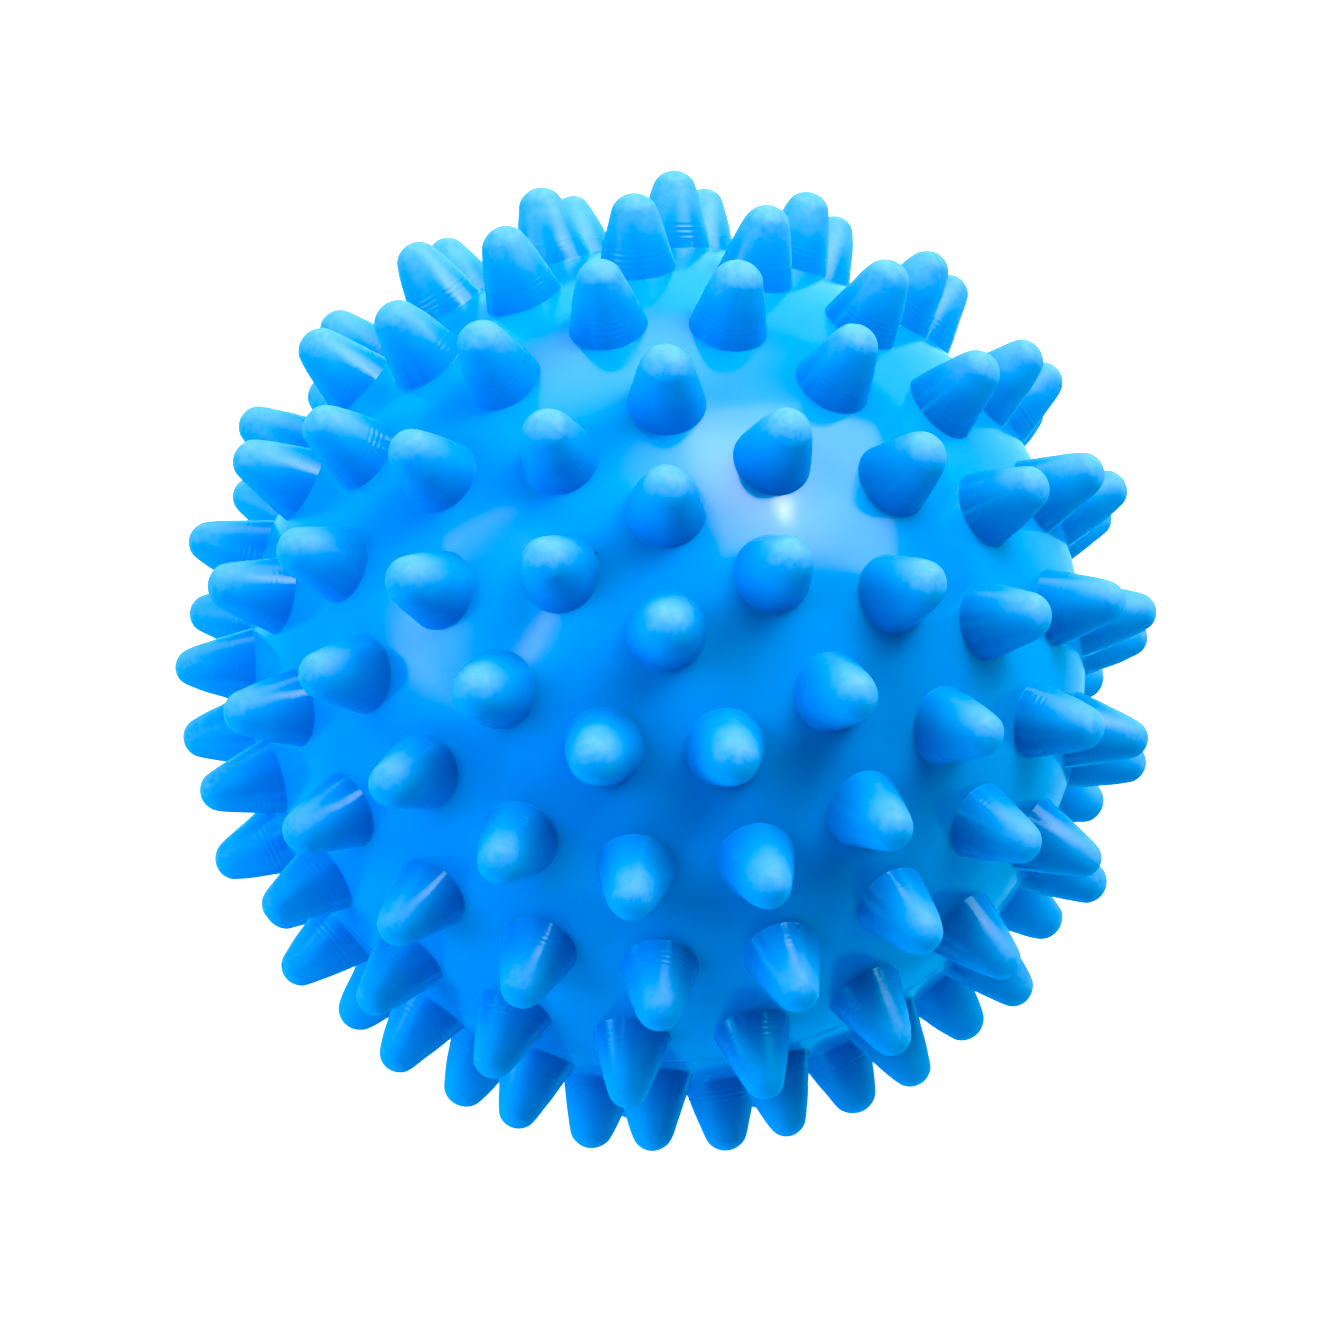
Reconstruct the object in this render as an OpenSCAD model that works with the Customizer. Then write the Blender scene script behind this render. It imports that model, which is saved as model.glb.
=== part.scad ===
// Spiky hollow dryer ball.
//
// The ball is a thin-walled round shell of soft PVC, covered with round-tipped conical spikes that
// point straight out from its centre.  One spike stands on the upper pole of the moulding axis, and
// the others stand on ten level rings around that axis.  The lower pole carries a tapered vent plug
// instead of a spike, so the ball rests upright on the six spikes around it.
//
// Millimetres.  +Z is the moulding axis, through the pole spike.  The origin is on the axis, in the
// plane that the six lowest spike tips rest on.

/* [Ball] */
// Diameter over the spike tips
tip_to_tip_d = 70; // [68:0.5:80]
// Diameter of the round body under the spikes
body_d = 59.4; // [54:0.1:61]
// Thickness of the moulded wall
wall = 2.5; // [1.5:0.1:3.5]

/* [Spikes] */
// Diameter of a spike where it leaves the body
spike_base_d = 5.5; // [4.6:0.1:6]
// Radius of the pole spike's round tip
pole_tip_r = 1.7; // [1.2:0.05:1.9]
// Radius of the round tips on the two rings beside the equator
equator_tip_r = 1.45; // [1.2:0.05:1.9]

/* [Spike rings] */
// Spikes on each ring of one half, from the pole's ring to the ring beside the equator
ring_counts = [6, 12, 17, 20, 22]; // [3:1:24]
// Turn of each upper ring about the axis, from the pole down, in degrees
upper_turns = [30, 14.5, 10.5, 17, 3.5]; // [0:0.5:60]
// Turn of each lower ring about the axis, from the equator down, in degrees
lower_turns = [6.5, 8, 10.5, 14.5, 30]; // [0:0.5:60]

/* [Parting line] */
// Width of the fine bead that the two mould halves leave around the equator
bead_w = 0.3; // [0.2:0.05:0.6]
// Height of that bead above the body
bead_h = 0.1; // [0.05:0.05:0.3]

/* [Vent plug] */
// Diameter of the plug's head
plug_head_d = 6.8; // [6:0.1:7.4]
// Thickness of the plug's head
plug_head_t = 1.2; // [0.8:0.1:1.6]
// How far the head's rounded face stands above the body
plug_proud = 0.4; // [0.2:0.1:0.8]
// Diameter of the stem under the head
stem_root_d = 4; // [3.6:0.1:4.4]
// Diameter of the stem at its inner end
stem_end_d = 3.2; // [2.4:0.1:3.4]
// Length of the stem under the head
stem_l = 6.5; // [5:0.1:8]
// Depth of the pump needle's pocket in the stem's inner end
needle_pocket = 3; // [1:0.5:4]
// Outer diameter of the neck that holds the plug, inside the shell
neck_d = 9; // [8:0.1:11]

/* [Hidden] */
ring_nodes = [for (i = [1:2 * len(ring_counts)]) str("spike_ring_", i)];

ball_blue = [0, 0.55, 0.97];
plug_white = [0.9, 0.93, 0.95];

body_r = body_d / 2;
ring_total = 2 * len(ring_counts);
// Angle from one ring to the next, measured from the ball's centre
ring_step = 180 / (ring_total + 1);
// Both halves have the same rings, mirrored about the equator
all_counts = concat(ring_counts, [for (i = [len(ring_counts) - 1:-1:0]) ring_counts[i]]);
all_turns = concat(upper_turns, lower_turns);

// A spike's base circle lies on the body: its radius, and its level along the spike's own axis
base_r = spike_base_d / 2;
base_level = sqrt(body_r * body_r - base_r * base_r);
// A spike's cone starts this far under its base circle, inside the shell's wall
root_depth = wall / 2;
// Angle by which the cone enters the tip sphere beyond their common tangent
shoulder_overlap = 12;

// Rings are counted from 0 at the pole spike; the tips get finer from either pole to the equator
function tip_r(index) =
    let (from_pole = min(index, ring_total + 1 - index))
    pole_tip_r + (equator_tip_r - pole_tip_r) * from_pole / len(ring_counts);
// Distance from the ball's centre to the centre of a tip sphere
function tip_centre(index) = tip_to_tip_d / 2 - tip_r(index);

// Height of the ball's centre over the plane that the lowest spike tips rest on
centre_h = tip_centre(ring_total) * cos(ring_step) + tip_r(ring_total);

// The plug's head sits in a recess, and its stem in a tapered hole, with this clearance all round
clearance = 0.05;
recess_floor = body_r - plug_head_t + plug_proud;
neck_end = recess_floor - stem_l;

// Puts a child, drawn on the +Z axis from the ball's centre, in the part's own frame
module at_centre() {
    translate([0, 0, centre_h]) children();
}

// One spike on the +Z axis, with its foot cut to the body's own sphere
module spike(index) {
    to_tip = tip_centre(index) - base_level;
    tangent = atan(base_r / to_tip) - asin(tip_r(index) / norm([base_r, to_tip]));
    shoulder = tangent + shoulder_overlap;
    taper = (base_r - tip_r(index) * cos(shoulder)) / (to_tip + tip_r(index) * sin(shoulder));
    cone_h = to_tip + tip_r(index) * sin(tangent);
    difference() {
        union() {
            translate([0, 0, base_level - root_depth])
                cylinder(
                    h = cone_h + root_depth,
                    r1 = base_r + taper * root_depth,
                    r2 = base_r - taper * cone_h,
                    $fn = 48
                );
            translate([0, 0, tip_centre(index)]) sphere(r = tip_r(index), $fn = 32);
        }
        sphere(r = body_r, $fn = 180);
    }
}

// A level ring of equal spikes
module spike_ring(index) {
    count = all_counts[index - 1];
    turn = all_turns[index - 1];
    color(ball_blue)
        at_centre()
            for (i = [0:count - 1])
                rotate([0, index * ring_step, turn + i * 360 / count]) spike(index);
}

module pole_spike() {
    color(ball_blue) at_centre() spike(0);
}

// The round head and tapered stem of the plug, along -Z from the ball's centre, grown by gap
module plug_form(gap, head_end) {
    translate([0, 0, -head_end])
        cylinder(h = head_end - recess_floor, r = plug_head_d / 2 + gap, $fn = 64);
    translate([0, 0, -recess_floor])
        cylinder(h = stem_l, r1 = stem_root_d / 2 + gap, r2 = stem_end_d / 2 + gap, $fn = 64);
}

// The hollow ball, with the parting line's bead outside and the plug's neck inside
module shell() {
    color(ball_blue)
        at_centre()
            difference() {
                union() {
                    sphere(r = body_r, $fn = 180);
                    translate([0, 0, -bead_w / 2])
                        cylinder(h = bead_w, r = body_r + bead_h, $fn = 180);
                }
                difference() {
                    sphere(r = body_r - wall, $fn = 180);
                    translate([0, 0, -body_r])
                        cylinder(h = body_r - neck_end, r = neck_d / 2, $fn = 64);
                }
                plug_form(clearance, body_r + wall);
                // The tapered hole runs on through the neck's inner end
                translate([0, 0, -neck_end - clearance])
                    cylinder(h = wall, r = stem_end_d / 2 + clearance, $fn = 64);
            }
}

// The stopper: its head is rounded off to follow the ball, and a needle pocket is open to the inside
module vent_plug() {
    color(plug_white)
        at_centre()
            difference() {
                intersection() {
                    plug_form(0, body_r + wall);
                    sphere(r = body_r + plug_proud, $fn = 180);
                }
                translate([0, 0, -neck_end - needle_pocket])
                    cylinder(h = needle_pocket + wall, r = stem_end_d / 5, $fn = 32);
            }
}

shell();
pole_spike();
for (i = [1:ring_total])
    spike_ring(i);
vent_plug();
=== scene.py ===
import math

import bmesh
import bpy
from mathutils import Matrix, Vector, noise


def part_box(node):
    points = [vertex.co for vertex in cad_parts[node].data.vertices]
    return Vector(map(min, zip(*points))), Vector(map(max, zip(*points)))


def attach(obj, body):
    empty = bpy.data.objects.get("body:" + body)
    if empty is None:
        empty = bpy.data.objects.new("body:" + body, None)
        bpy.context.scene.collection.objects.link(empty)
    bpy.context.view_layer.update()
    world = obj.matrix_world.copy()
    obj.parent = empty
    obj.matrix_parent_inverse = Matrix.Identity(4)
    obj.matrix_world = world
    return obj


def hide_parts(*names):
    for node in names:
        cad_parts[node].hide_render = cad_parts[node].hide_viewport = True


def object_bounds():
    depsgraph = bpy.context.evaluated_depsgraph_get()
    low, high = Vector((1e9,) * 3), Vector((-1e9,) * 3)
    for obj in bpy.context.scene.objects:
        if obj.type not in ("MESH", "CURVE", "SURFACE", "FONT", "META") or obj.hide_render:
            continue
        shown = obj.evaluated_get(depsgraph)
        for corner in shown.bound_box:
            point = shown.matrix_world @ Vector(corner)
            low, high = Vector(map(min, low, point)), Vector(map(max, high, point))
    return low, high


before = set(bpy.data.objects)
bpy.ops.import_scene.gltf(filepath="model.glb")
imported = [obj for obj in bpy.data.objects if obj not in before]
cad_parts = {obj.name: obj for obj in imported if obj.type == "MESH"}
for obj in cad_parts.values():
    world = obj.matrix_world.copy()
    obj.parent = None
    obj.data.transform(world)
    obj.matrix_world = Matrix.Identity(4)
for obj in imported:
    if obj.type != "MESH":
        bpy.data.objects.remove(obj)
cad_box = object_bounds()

MM = 0.001


# ---------------------------------------------------------------- sizes, read from the frame

def ball_centre():
    """The ball's centre: halfway between the rings on each side of the equator."""
    top_of_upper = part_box("spike_ring_5")[1].z
    bottom_of_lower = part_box("spike_ring_6")[0].z
    return Vector((0, 0, (top_of_upper + bottom_of_lower) / 2))


CENTRE = ball_centre()
BODY_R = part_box("shell")[1].z - CENTRE.z
TIP_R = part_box("pole_spike")[1].z - CENTRE.z
BASE_R = (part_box("pole_spike")[1].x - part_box("pole_spike")[0].x) / 2
BEAD_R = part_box("shell")[1].x

# A spike's outline: its round tip, finer from the poles to the equator, meets a slightly bulging
# side that leans in from a small fillet at the foot
POLE_TIP_ROUND = 1.85 * MM
EQUATOR_TIP_ROUND = 1.45 * MM
TIP_SPREAD = 0.10                   # how much one spike's tip radius differs from the next
SHOULDER_RISE = math.radians(21.5)  # the side leaves the tip's circle this far above the plain tangent
SIDE_BULGE = math.radians(1.5)      # and leaves the foot this much steeper than the plain tangent
FOOT_FILLET = 0.03 * MM
ROOT_DEPTH = 0.8 * MM               # how far a spike runs on, hidden under the body's surface
SPIKE_SEGMENTS = 36
RINGS_PER_HALF = 5

# What makes each spike a little different
SPIKE_SAG = 0.16 * MM               # how far a tip may sit off its axis
DENT_SHARE = 0.05                   # depth of a dent, as a share of the spike's radius there
DENT_GRAIN = 1.6 * MM

# Fine ridges that the mould leaves around the lower part of a spike, as heights over the body
RIDGE_START = 0.35 * MM
RIDGE_END = 2.1 * MM
RIDGE_PITCH = 0.36 * MM

# The shell's wall, its parting bead, and the seat and plug at the lower pole
WALL = 2.5 * MM
SHELL_SEGMENTS = 256
QUARTER_STEPS = 90                  # steps from a pole to the equator
BEAD_SHARE = 0.4                    # how much of the parting bead is left, after trimming and wear
BEAD_HALF_WIDTH = 0.3 * MM
BEAD_STEPS = 8
NECK_R = 4.5 * MM
HOLE_TOP_R = 2.05 * MM
HOLE_END_R = 1.65 * MM
HEAD_T = 1.2 * MM
HEAD_PROUD = 0.4 * MM
SEAT_GAP = 0.05 * MM
STEM_ROOT_R = 2.0 * MM
STEM_END_R = 1.6 * MM
POCKET_R = 0.62 * MM
POCKET_DEPTH = 3.0 * MM
EDGE_ROUND = 0.35 * MM              # the roll of the plug head's edge


# ---------------------------------------------------------------- camera

PICTURE_BODY_SHARE = 0.631      # the body's width, as a share of the picture's
CAMERA_TILT = 20.66             # degrees between the view line and the moulding axis
CAMERA_RANGE = 22.6             # camera distance, in body radii
BALL_OFFSET = 0.0057            # the ball sits this many body radii right of the picture's middle
RED_BLACK_LEVEL = 0.11          # scene red that comes out as none


def aim(thing, target):
    """Turns an object so that its -Z axis points at the target, with +Y upwards."""
    thing.rotation_euler = (target - thing.location).to_track_quat("-Z", "Y").to_euler()


def add_camera():
    """The photo's viewpoint: above the ball and a little in front, with the ball filling the picture."""
    tilt = math.radians(CAMERA_TILT)
    towards = Vector((0, -math.sin(tilt), math.cos(tilt)))
    data = bpy.data.cameras.new("photo_camera")
    data.sensor_width = 36.0
    half_view = math.asin(1 / CAMERA_RANGE)
    data.lens = PICTURE_BODY_SHARE / 2 * data.sensor_width / math.tan(half_view)
    data.clip_end = 50
    camera = bpy.data.objects.new("photo_camera", data)
    bpy.context.scene.collection.objects.link(camera)
    middle = CENTRE - Vector((BALL_OFFSET * BODY_R, 0, 0))
    camera.location = middle + towards * CAMERA_RANGE * BODY_R
    aim(camera, middle)
    bpy.context.scene.camera = camera


# ---------------------------------------------------------------- materials

def principled(name):
    """A new material, with its node tree and its main shader."""
    material = bpy.data.materials.new(name)
    material.use_nodes = True
    tree = material.node_tree
    return material, tree, tree.nodes["Principled BSDF"]


def math_node(tree, operation, first, second=None, third=None):
    node = tree.nodes.new("ShaderNodeMath")
    node.operation = operation
    for socket, value in zip(node.inputs, (first, second, third)):
        if value is None:
            continue
        if isinstance(value, bpy.types.NodeSocket):
            tree.links.new(value, socket)
        else:
            socket.default_value = value
    return node.outputs[0]


def remap(tree, value, low, high, to_low, to_high):
    """Stretches the range low to high over to_low to to_high, and clamps what is outside it."""
    node = tree.nodes.new("ShaderNodeMapRange")
    node.clamp = True
    tree.links.new(value, node.inputs["Value"])
    node.inputs["From Min"].default_value = low
    node.inputs["From Max"].default_value = high
    node.inputs["To Min"].default_value = to_low
    node.inputs["To Max"].default_value = to_high
    return node.outputs[0]


def noise_node(tree, grain, detail=3.0, stretch=None):
    """Noise in the part's own space; grain is the size of its blobs, in metres."""
    coordinates = tree.nodes.new("ShaderNodeTexCoord").outputs["Object"]
    if stretch:
        mapping = tree.nodes.new("ShaderNodeMapping")
        mapping.inputs["Scale"].default_value = stretch
        tree.links.new(coordinates, mapping.inputs["Vector"])
        coordinates = mapping.outputs[0]
    node = tree.nodes.new("ShaderNodeTexNoise")
    node.inputs["Scale"].default_value = 1 / grain
    node.inputs["Detail"].default_value = detail
    tree.links.new(coordinates, node.inputs["Vector"])
    return node.outputs["Fac"]


def height_over_body(tree):
    """How far a point stands over the round body, in millimetres."""
    position = tree.nodes.new("ShaderNodeTexCoord").outputs["Object"]
    distance = tree.nodes.new("ShaderNodeVectorMath")
    distance.operation = "DISTANCE"
    tree.links.new(position, distance.inputs[0])
    distance.inputs[1].default_value = CENTRE
    over = math_node(tree, "SUBTRACT", distance.outputs["Value"], BODY_R)
    return math_node(tree, "DIVIDE", over, MM)


def mix_colours(tree, factor, first, second):
    """Mixes two colours, each a socket or an (R, G, B) tuple, by a factor that is a socket."""
    node = tree.nodes.new("ShaderNodeMix")
    node.data_type = "RGBA"
    for key, value in (("Factor", factor), ("A", first), ("B", second)):
        socket = node.inputs[key]
        if isinstance(value, bpy.types.NodeSocket):
            tree.links.new(value, socket)
        else:
            socket.default_value = (*value, 1.0)
    return node.outputs["Result"]


def bump(tree, shader, heights):
    """Adds bumps in turn, each a (height from 0 to 1, depth in metres) pair."""
    normal = None
    for height, depth in heights:
        node = tree.nodes.new("ShaderNodeBump")
        node.inputs["Strength"].default_value = 1.0
        node.inputs["Distance"].default_value = depth
        tree.links.new(height, node.inputs["Height"])
        if normal is not None:
            tree.links.new(normal, node.inputs["Normal"])
        normal = node.outputs[0]
    tree.links.new(normal, shader.inputs["Normal"])


def specks(tree):
    """A mask of a few tiny specks in the plastic, 0.1 to 0.25 mm across."""
    spacing = 4.5 * MM
    coordinates = tree.nodes.new("ShaderNodeTexCoord").outputs["Object"]
    cells = tree.nodes.new("ShaderNodeTexVoronoi")
    cells.inputs["Scale"].default_value = 1 / spacing
    tree.links.new(coordinates, cells.inputs["Vector"])
    split = tree.nodes.new("ShaderNodeSeparateColor")
    tree.links.new(cells.outputs["Color"], split.inputs[0])
    radius = remap(tree, split.outputs[0], 0.55, 1.0, 0.0, 0.035)
    return math_node(tree, "LESS_THAN", cells.outputs["Distance"], radius)


def ball_pvc():
    """Glossy azure PVC: polished on the body, with painted shade darkening a spike's foot, and satin at
    its scuffed tip, with a painted sheen paling the spike as it rises.
    """
    body_blue = (0.045, 0.252, 0.70)
    clouded_blue = (0.045, 0.275, 0.735)
    foot_shade_blue = (0.040, 0.228, 0.67)
    spike_sheen_blue = (0.09, 0.335, 0.775)
    scuff_and_sheen_blue = (0.20, 0.415, 0.87)
    speck_blue = (0.0, 0.10, 0.42)

    material, tree, shader = principled("ball_pvc")
    # Masks that rise from 0 to 1 between two heights over the body, in millimetres
    height = height_over_body(tree)
    up_spike = remap(tree, height, 0.2, 3.6, 0.0, 1.0)
    off_body = remap(tree, height, 0.0, 0.12, 0.0, 1.0)
    at_tip = remap(tree, height, 2.2, 5.0, 0.0, 1.0)

    cloud = remap(tree, noise_node(tree, 11 * MM, detail=2.0), 0.35, 0.65, 0.0, 1.0)
    colour = mix_colours(tree, cloud, body_blue, clouded_blue)
    # Painted shade: the colour darkens where a spike's foot meets the body.
    colour = mix_colours(tree, off_body, colour, foot_shade_blue)
    # Painted sheen: the colour pales up the spike, in place of a hazy reflection.
    colour = mix_colours(tree, up_spike, colour, spike_sheen_blue)
    # Real scuffs at the tips, made paler still by a painted sheen that takes the place of the gloss
    # lowered there.
    wear = remap(tree, noise_node(tree, 0.5 * MM, detail=5.0), 0.35, 0.65, 0.2, 1.0)
    scuff_and_sheen = math_node(tree, "MULTIPLY", at_tip, wear)
    colour = mix_colours(tree, math_node(tree, "MULTIPLY", scuff_and_sheen, 0.7), colour, scuff_and_sheen_blue)
    colour = mix_colours(tree, specks(tree), colour, speck_blue)
    tree.links.new(colour, shader.inputs["Base Color"])

    smear = noise_node(tree, 5 * MM, detail=3.0, stretch=(1.0, 1.0, 2.2))
    roughness = remap(tree, smear, 0.35, 0.65, 0.12, 0.16)
    roughness = math_node(tree, "MULTIPLY_ADD", off_body, 0.05, roughness)
    roughness = math_node(tree, "MULTIPLY_ADD", up_spike, 0.22, roughness)
    roughness = math_node(tree, "MULTIPLY_ADD", scuff_and_sheen, 0.24, roughness)
    tree.links.new(roughness, shader.inputs["Roughness"])
    gloss = math_node(tree, "MULTIPLY_ADD", at_tip, -0.2, 0.5)
    tree.links.new(gloss, shader.inputs["Specular IOR Level"])

    peel = noise_node(tree, 0.7 * MM, detail=3.0)
    peel_depth = math_node(tree, "MULTIPLY", peel, math_node(tree, "ADD", up_spike, 0.3))
    ripple = noise_node(tree, 4.5 * MM, detail=1.0)
    bump(tree, shader, ((peel_depth, 0.012 * MM), (ripple, 0.05 * MM)))

    shader.inputs["IOR"].default_value = 1.5
    shader.inputs["Subsurface Weight"].default_value = 0.10
    shader.inputs["Subsurface Radius"].default_value = (0.2, 0.6, 1.0)
    shader.inputs["Subsurface Scale"].default_value = 0.7 * MM
    return material


def plug_pvc():
    """Milky white soft PVC with a satin moulded skin."""
    material, tree, shader = principled("plug_pvc")
    cloud = noise_node(tree, 3 * MM, detail=2.0)
    colour = mix_colours(tree, cloud, (0.74, 0.79, 0.81), (0.84, 0.87, 0.88))
    tree.links.new(colour, shader.inputs["Base Color"])
    roughness = remap(tree, noise_node(tree, 0.8 * MM), 0.3, 0.7, 0.30, 0.42)
    tree.links.new(roughness, shader.inputs["Roughness"])
    bump(tree, shader, ((noise_node(tree, 0.25 * MM, detail=2.0), 0.006 * MM),))
    shader.inputs["Subsurface Weight"].default_value = 0.3
    shader.inputs["Subsurface Radius"].default_value = (1.0, 1.0, 1.0)
    shader.inputs["Subsurface Scale"].default_value = 0.8 * MM
    return material


def floor_paint():
    """Plain white to the camera, glowing so that shadows stay soft on it, and pale blue to the ball."""
    material, tree, shader = principled("floor_paint")
    grain = noise_node(tree, 60 * MM, detail=4.0)
    pale = mix_colours(tree, grain, (0.93, 0.94, 0.95), (0.97, 0.97, 0.97))
    pale_blue = (0.35, 0.78, 1.0)
    seen = tree.nodes.new("ShaderNodeLightPath").outputs["Is Camera Ray"]
    tree.links.new(mix_colours(tree, seen, pale_blue, pale), shader.inputs["Base Color"])
    shader.inputs["Roughness"].default_value = 0.8
    shader.inputs["Specular IOR Level"].default_value = 0.1
    shader.inputs["Emission Color"].default_value = (1, 1, 1, 1)
    tree.links.new(math_node(tree, "MULTIPLY", seen, 0.8), shader.inputs["Emission Strength"])
    return material


# ---------------------------------------------------------------- mesh tools

def turned(axis):
    """The rotation that takes +Z to an axis, seen from the ball's centre."""
    return axis.to_track_quat("Z", "Y").to_matrix()


def unevenness(direction):
    """The body's slight waviness in one direction, as a length; soft PVC is never perfectly round."""
    slow = noise.noise(direction * 2.3)
    quick = noise.noise(direction * 6.1 + Vector((3, 5, 7)))
    return (0.05 * slow + 0.02 * quick - 0.03) * MM


def inside_cad_box(point):
    """Keeps a point in the CAD model's box, so that the tips that the ball rests on meet the floor."""
    low, high = cad_box
    return Vector([min(max(value, low[i]), high[i]) for i, value in enumerate(point)])


def arc(middle, radius, start, end, steps):
    """Points on an arc in the profile plane; an angle is measured from +R towards +Z."""
    points = []
    for i in range(steps + 1):
        angle = start + (end - start) * i / steps
        points.append((middle[0] + radius * math.cos(angle), middle[1] + radius * math.sin(angle)))
    return points


def add_lathe(mesh, profile, segments, place):
    """Turns a profile of (radius, level) points about the axis; a zero radius makes a pole."""
    rings = []
    for radius, level in profile:
        if radius == 0:
            rings.append([mesh.verts.new(place(Vector((0, 0, level))))])
            continue
        ring = []
        for i in range(segments):
            angle = 2 * math.pi * i / segments
            point = Vector((radius * math.cos(angle), radius * math.sin(angle), level))
            ring.append(mesh.verts.new(place(point)))
        rings.append(ring)
    for lower, upper in zip(rings, rings[1:]):
        for i in range(segments):
            j = (i + 1) % segments
            below = (lower[i % len(lower)], lower[j % len(lower)])
            above = (upper[j % len(upper)], upper[i % len(upper)])
            distinct = list(dict.fromkeys(below + above))
            if len(distinct) > 2:
                mesh.faces.new(distinct)


def finish_piece(name, mesh, body, slot, node):
    """Makes an object of a mesh, in its slot's material, ties it to a body and hides the CAD node that
    it stands in for.
    """
    bmesh.ops.recalc_face_normals(mesh, faces=mesh.faces)
    data = bpy.data.meshes.new(name)
    mesh.to_mesh(data)
    mesh.free()
    data.shade_smooth()
    data.materials.append(MATERIALS[slot])
    piece = bpy.data.objects.new(name, data)
    bpy.context.scene.collection.objects.link(piece)
    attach(piece, body)
    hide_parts(node)


# ---------------------------------------------------------------- the spikes

def tip_round(index):
    """The tip radius on a ring, counted from 0 at the pole spike; it falls off towards the equator."""
    from_pole = min(index, 2 * RINGS_PER_HALF + 1 - index) / RINGS_PER_HALF
    return POLE_TIP_ROUND + (EQUATOR_TIP_ROUND - POLE_TIP_ROUND) * from_pole ** 2


def quirk(axis, spread, shift=(0, 0, 0)):
    """A number from -1 to 1 that belongs to one spike and stays the same in every run."""
    return noise.noise(axis * spread + Vector(shift))


def bend(start, control, end, shares):
    """Points on a quadratic curve, at shares of its length parameter from 0 to 1."""
    points = []
    for t in shares:
        points.append(tuple(start * (1 - t) ** 2 + control * 2 * t * (1 - t) + end * t ** 2))
    return points


def tangent_lean(foot, tip_centre, round_r):
    """The lean of the straight line that runs from the foot up to touch the tip's circle."""
    rise = tip_centre - foot.y
    return math.atan(foot.x / rise) - math.asin(round_r / math.hypot(foot.x, rise))


def spike_profile(round_r):
    """A spike's outline from its hidden foot, over the fillet, up the side and round the tip."""
    foot_r = BASE_R - 0.6 * FOOT_FILLET
    base = Vector((foot_r, math.sqrt(BODY_R ** 2 - foot_r ** 2)))
    tip_centre = TIP_R - round_r
    tangent = tangent_lean(base, tip_centre, round_r)
    lean = tangent - SIDE_BULGE
    rise = tangent + SHOULDER_RISE
    outwards = Vector((math.cos(lean), math.sin(lean)))

    # The fillet's centre is one fillet radius off the body's sphere and off the side
    reach = BODY_R + FOOT_FILLET
    swing = math.asin((FOOT_FILLET + base.dot(outwards)) / reach) - lean
    middle = (reach * math.sin(swing), reach * math.cos(swing))
    start = math.atan2(-middle[1], -middle[0])
    end = math.atan2(-outwards.y, -outwards.x)
    fillet = arc(middle, FOOT_FILLET, start, end, 4)
    edge_r, edge_level = fillet[0]
    hidden = [(0, BODY_R - ROOT_DEPTH), (edge_r * 0.9, edge_level - ROOT_DEPTH)]

    # The side runs from the fillet to the tip's shoulder, bent where the two end lines meet
    side_start = Vector(fillet[-1])
    shoulder = Vector((round_r * math.cos(rise), tip_centre + round_r * math.sin(rise)))
    up_side = Vector((-math.sin(lean), math.cos(lean)))
    off_tip = Vector((math.sin(rise), -math.cos(rise)))
    along = (shoulder - side_start).cross(off_tip) / up_side.cross(off_tip)
    control = side_start + up_side * along
    # Fine steps where the ridges are, and coarse ones above them
    fine = 1 / 72
    coarse = 2.9 * fine
    ridged = [i * fine for i in range(1, 26)]
    plain = [26 * fine + i * coarse for i in range(16)]
    side = bend(side_start, control, shoulder, ridged + plain)
    tip = arc((0, tip_centre), round_r, rise, math.pi / 2, 8)
    tip[-1] = (0, TIP_R)
    return hidden + fillet + side + tip


def spike_axes(node):
    """The directions of a CAD node's spikes: each is the farthest point of one cluster of tip points."""
    same_spike = math.cos(math.radians(5))
    found = []
    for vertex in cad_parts[node].data.vertices:
        offset = vertex.co - CENTRE
        if offset.length < TIP_R - 0.5 * EQUATOR_TIP_ROUND:
            continue
        direction = offset.normalized()
        for i, (best, length) in enumerate(found):
            if direction.dot(best) > same_spike:
                if offset.length > length:
                    found[i] = (direction, offset.length)
                break
        else:
            found.append((direction, offset.length))
    return [direction for direction, length in found]


def add_spike(mesh, axis, index):
    """One spike; no two are quite alike, as the soft moulding sags, ripples and wears a little."""
    profile = spike_profile(tip_round(index) * (1 + TIP_SPREAD * quirk(axis, 41)))
    turn = turned(axis)
    phase = 6 * quirk(axis, 37)
    ridge_depth = (0.006 + 0.014 * max(0.0, quirk(axis, 19, (1, 2, 3)) + 0.3)) * MM
    lean = Vector((quirk(axis, 23), quirk(axis, 29, (9, 4, 2)), 0)) * SPIKE_SAG

    def place(point):
        radius = math.hypot(point.x, point.y)
        direction = (turn @ point).normalized()
        height = max(0.0, point.length - BODY_R)
        share = height / (TIP_R - BODY_R)
        # The foot follows the body's waviness, which fades out up the spike
        lift = unevenness(direction) * max(0.0, 1.0 - share) ** 2
        ridge = 0.0
        if RIDGE_START < height < RIDGE_END:
            window = math.sin(math.pi * (height - RIDGE_START) / (RIDGE_END - RIDGE_START))
            ridge = ridge_depth * window * math.sin(2 * math.pi * height / RIDGE_PITCH + phase)
        dent = DENT_SHARE * share * noise.noise(point / DENT_GRAIN + axis * 50)
        # Dents and ridges push the side in or out, and leave the very tip alone
        scale = 1 + dent + ridge / radius if radius > 0.2 * MM else 1.0
        moved = Vector((point.x * scale, point.y * scale, point.z + lift))
        moved += lean * share ** 1.5
        return inside_cad_box(CENTRE + turn @ moved)

    add_lathe(mesh, profile, SPIKE_SEGMENTS, place)


def add_spikes(node, name, index):
    mesh = bmesh.new()
    for axis in spike_axes(node):
        add_spike(mesh, axis, index)
    finish_piece(name, mesh, "ball", "ball_pvc", node)


# ---------------------------------------------------------------- the shell and the plug

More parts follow.
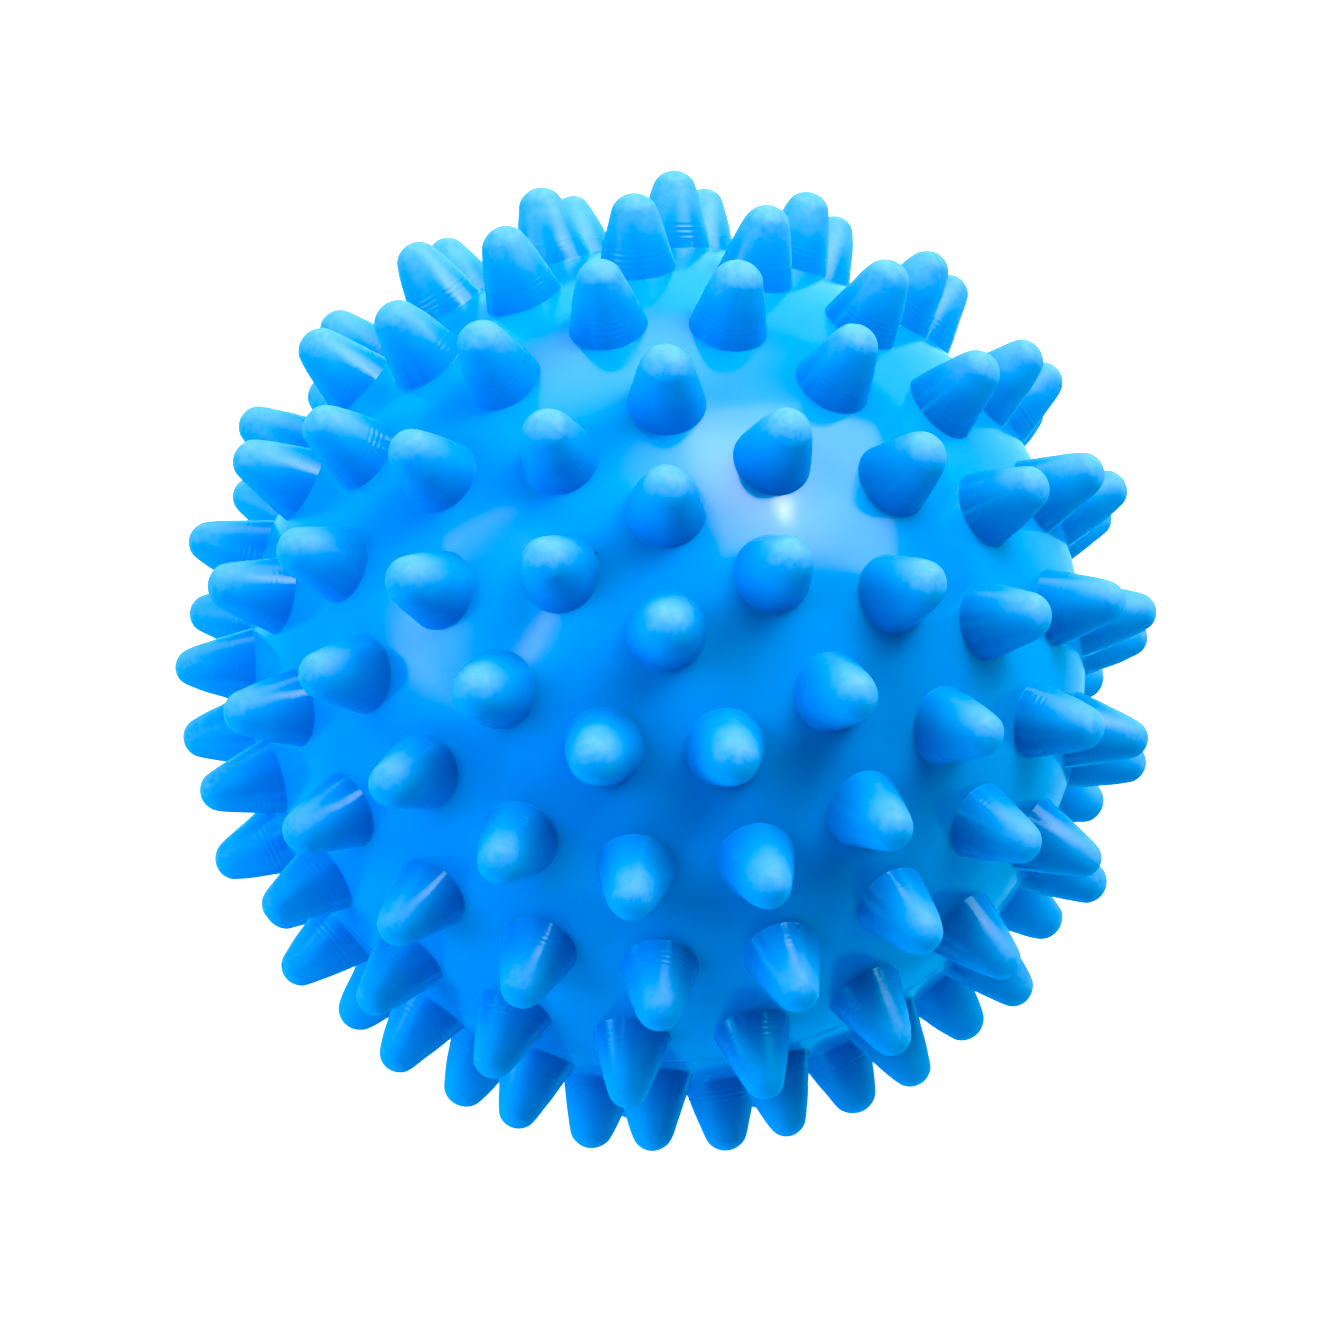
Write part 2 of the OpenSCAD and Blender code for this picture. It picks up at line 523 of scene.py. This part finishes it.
def outer_profile(seat_r):
    """The ball's outside, from the upper pole over the parting bead to the rim of the plug's seat."""
    bead = math.asin(BEAD_HALF_WIDTH / BODY_R)
    rim_chamfer = 0.006
    rim = -(math.pi / 2 - math.asin(seat_r / BODY_R) - rim_chamfer)
    points = [(0, BODY_R)]
    for i in range(1, QUARTER_STEPS + 1):
        angle = math.pi / 2 * (1 - i / QUARTER_STEPS) + bead * i / QUARTER_STEPS
        points.append((BODY_R * math.cos(angle), BODY_R * math.sin(angle)))
    for i in range(1, BEAD_STEPS):
        angle = bead * (1 - 2 * i / BEAD_STEPS)
        bulge = BEAD_SHARE * (BEAD_R - BODY_R) * math.cos(math.pi / 2 * angle / bead) ** 2
        points.append(((BODY_R + bulge) * math.cos(angle), (BODY_R + bulge) * math.sin(angle)))
    return points + arc((0, 0), BODY_R, -bead, rim, QUARTER_STEPS)


def seat_profile(seat_r, neck_level):
    """The plug's seat: a recess for the head, the tapered hole, and the neck around its inner end."""
    rim_level = -math.sqrt(BODY_R ** 2 - seat_r ** 2)
    recess_floor = -(BODY_R - HEAD_T + HEAD_PROUD)
    return [
        (seat_r + 0.04 * MM, rim_level + 0.02 * MM),
        (seat_r, rim_level + 0.12 * MM),
        (seat_r, recess_floor - 0.10 * MM),
        (seat_r - 0.10 * MM, recess_floor),
        (HOLE_TOP_R + 0.15 * MM, recess_floor),
        (HOLE_TOP_R, recess_floor + 0.15 * MM),
        (HOLE_END_R, neck_level),
        (HOLE_END_R + 0.2 * MM, neck_level + 0.2 * MM),
        (NECK_R - 0.3 * MM, neck_level + 0.2 * MM),
        (NECK_R, neck_level - 0.1 * MM),
    ]


def inner_profile():
    """The hollow's wall, from the neck up to the upper pole."""
    inner_r = BODY_R - WALL
    wall = arc((0, 0), inner_r, -math.acos(NECK_R / inner_r), math.pi / 2, 60)
    return wall[:-1] + [(0, inner_r)]


def add_shell():
    """The body: a wavy sphere outside, with the mould's parting bead and the plug's seat."""
    plug_low, plug_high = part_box("vent_plug")
    seat_r = (plug_high.x - plug_low.x) / 2 + SEAT_GAP
    neck_level = plug_high.z - CENTRE.z
    profile = outer_profile(seat_r) + seat_profile(seat_r, neck_level) + inner_profile()

    def place(point):
        # The waviness fades out over the first half millimetre under the surface
        direction = point.normalized()
        fade = 0.5 * MM
        on_outside = min(1.0, max(0.0, (point.length - BODY_R + fade) / fade))
        return CENTRE + point + direction * unevenness(direction) * on_outside

    mesh = bmesh.new()
    add_lathe(mesh, profile, SHELL_SEGMENTS, place)
    finish_piece("ball_shell", mesh, "ball", "ball_pvc", "shell")


def add_plug():
    """The stopper: a domed head with a rolled edge, on a tapered stem with a needle pocket."""
    low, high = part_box("vent_plug")
    head_r = (high.x - low.x) / 2
    length = high.z - low.z

    # The head's face follows the ball, with a shallow groove moulded around its middle
    face_r = BODY_R + HEAD_PROUD
    face_edge = head_r - EDGE_ROUND
    face_steps = 8
    face = []
    for i in range(face_steps + 1):
        radius = face_edge * i / face_steps
        groove = 0.03 * MM * math.sin(math.pi * i / face_steps) ** 8
        face.append((radius, face_r - math.sqrt(face_r ** 2 - radius ** 2) + groove))
    edge_level = face_r - math.sqrt(face_r ** 2 - head_r ** 2) + EDGE_ROUND
    edge = arc((face_edge, edge_level), EDGE_ROUND, -math.pi / 2, 0, 5)

    # Levels are heights over the face's middle, up to the stem's open end
    stem = [
        (head_r, HEAD_T - 0.1 * MM),
        (head_r - 0.1 * MM, HEAD_T),
        (STEM_ROOT_R + 0.25 * MM, HEAD_T),
        (STEM_ROOT_R, HEAD_T + 0.25 * MM),
        (STEM_END_R, length - 0.2 * MM),
        (STEM_END_R - 0.15 * MM, length),
    ]
    pocket = [
        (POCKET_R + 0.13 * MM, length),
        (POCKET_R, length - 0.12 * MM),
        (POCKET_R, length - POCKET_DEPTH + 0.2 * MM),
        (POCKET_R - 0.22 * MM, length - POCKET_DEPTH),
        (0, length - POCKET_DEPTH),
    ]

    def place(point):
        return Vector((0, 0, low.z)) + point

    mesh = bmesh.new()
    add_lathe(mesh, face + edge + stem + pocket, 96, place)
    finish_piece("plug_stopper", mesh, "plug", "plug_pvc", "vent_plug")


# ---------------------------------------------------------------- floor and light

COOL = (0.48, 0.69, 1.0)    # tint of the fill lights on the left
DEEP = (0.25, 0.57, 1.0)    # tint of the low fill lights in front


def add_floor():
    mesh = bmesh.new()
    reach = 12.0
    corners = ((-reach, -reach), (reach, -reach), (reach, reach), (-reach, reach))
    mesh.faces.new([mesh.verts.new((x, y, 0)) for x, y in corners])
    data = bpy.data.meshes.new("floor")
    mesh.to_mesh(data)
    mesh.free()
    data.materials.append(floor_paint())
    floor = bpy.data.objects.new("floor", data)
    bpy.context.scene.collection.objects.link(floor)


def add_softbox(name, azimuth, elevation, size, radiance, roll=0.0, fade=0.0, tint=(1, 1, 1)):
    """A rectangular light, a metre from the ball and aimed at it.

    azimuth is measured from +X towards +Y and roll about the light's own axis, all in degrees;
    size is (width, height) in metres, and fade is the share of each side that fades out at its ends.
    """
    distance = 1.0
    width, height = size
    data = bpy.data.lights.new(name, "AREA")
    data.shape = "RECTANGLE"
    data.size = width
    data.size_y = height
    data.energy = radiance * math.pi * width * height
    data.color = tint
    if fade:
        fade_edges(data, fade)
    light = bpy.data.objects.new(name, data)
    bpy.context.scene.collection.objects.link(light)
    around = math.radians(azimuth)
    up = math.radians(elevation)
    light.location = CENTRE + distance * Vector(
        (math.cos(up) * math.cos(around), math.cos(up) * math.sin(around), math.sin(up))
    )
    aim(light, CENTRE)
    rolled = light.rotation_euler.to_matrix() @ Matrix.Rotation(math.radians(roll), 3, "Z")
    light.rotation_euler = rolled.to_euler()
    return light


def fade_edges(data, fade):
    """Lets a light's panel fade smoothly to dark at its edges, as a diffuser does."""
    data.use_nodes = True
    tree = data.node_tree
    panel = tree.nodes.new("ShaderNodeNewGeometry").outputs["Parametric"]
    place = tree.nodes.new("ShaderNodeSeparateXYZ")
    tree.links.new(panel, place.inputs[0])
    strengths = []
    for axis in (0, 1):
        off_middle = math_node(tree, "ABSOLUTE", math_node(tree, "SUBTRACT", place.outputs[axis], 0.5))
        side = tree.nodes.new("ShaderNodeMapRange")
        side.interpolation_type = "SMOOTHSTEP"
        tree.links.new(off_middle, side.inputs["Value"])
        side.inputs["From Min"].default_value = 0.5
        side.inputs["From Max"].default_value = 0.5 - fade
        strengths.append(side.outputs[0])
    strength = math_node(tree, "MULTIPLY", *strengths)
    tree.links.new(strength, tree.nodes["Emission"].inputs["Strength"])


def add_lights():
    """Softboxes as the picture's reflections show them, and broad glows that model the spikes."""
    # The window over the right shoulder, its brightest spot and the glow around it
    add_softbox("key_box", 45.6, 41.6, (0.81, 0.90), 2.9, roll=-35)
    add_softbox("key_core", 38, 51, (0.22, 0.13), 17.0, roll=-35, fade=0.5)
    add_softbox("key_halo", 46, 42, (1.3, 1.4), 1.2, roll=-35, fade=0.35)
    # The window on the left, with a thin pane on each side
    add_softbox("left_box", 183, 40, (0.55, 0.70), 3.0, roll=33, tint=COOL)
    add_softbox("left_strip", 152, 35, (0.11, 0.41), 2.2, roll=37)
    add_softbox("left_edge", 196.4, 52.9, (0.09, 0.25), 3.2, roll=33)
    add_softbox("left_halo", 183, 40, (1.0, 1.2), 9.2, roll=33, fade=0.4, tint=COOL)
    # Broad glows all around
    add_softbox("back_wall", 98, 18, (1.5, 1.0), 2.3, fade=0.4)
    add_softbox("top_glow", 65, 55, (1.5, 0.8), 3.5, fade=0.45)
    add_softbox("side_glow", 180, 18, (1.0, 0.9), 4.2, fade=0.45, tint=COOL)
    add_softbox("front_left_glow", 235, 6, (1.6, 0.6), 2.9, fade=0.45, tint=DEEP)
    add_softbox("front_glow", 270, 8, (1.6, 0.6), 1.3, fade=0.45, tint=DEEP)
    # A compact beam from the key's side draws the spikes' shadows; the plastic doesn't mirror it
    key_beam = add_softbox("key_beam", 45.6, 41.6, (0.30, 0.30), 9.8)
    key_beam.visible_glossy = False


def add_world():
    """White to the camera, and a faint even light on everything else."""
    world = bpy.data.worlds.new("studio")
    world.use_nodes = True
    tree = world.node_tree
    background = tree.nodes["Background"]
    background.inputs["Color"].default_value = (1, 1, 1, 1)
    seen = tree.nodes.new("ShaderNodeLightPath").outputs["Is Camera Ray"]
    strength = tree.nodes.new("ShaderNodeMapRange")
    tree.links.new(seen, strength.inputs["Value"])
    strength.inputs["To Min"].default_value = 0.05
    strength.inputs["To Max"].default_value = 1.0
    tree.links.new(strength.outputs[0], background.inputs["Strength"])
    bpy.context.scene.world = world


def set_film():
    """A plain display, with the reds' blacks deepened: product pictures of blue plastic have none."""
    view = bpy.context.scene.view_settings
    view.view_transform = "Standard"
    view.use_curve_mapping = True
    view.curve_mapping.black_level = (RED_BLACK_LEVEL, 0.0, 0.0)


# ---------------------------------------------------------------- making

add_camera()
MATERIALS = {"ball_pvc": ball_pvc(), "plug_pvc": plug_pvc()}
add_shell()
add_spikes("pole_spike", "pole_spike_skin", 0)
for index in range(1, 2 * RINGS_PER_HALF + 1):
    add_spikes(f"spike_ring_{index}", f"spike_ring_{index}_skin", index)
add_plug()
add_floor()
add_lights()
add_world()
set_film()
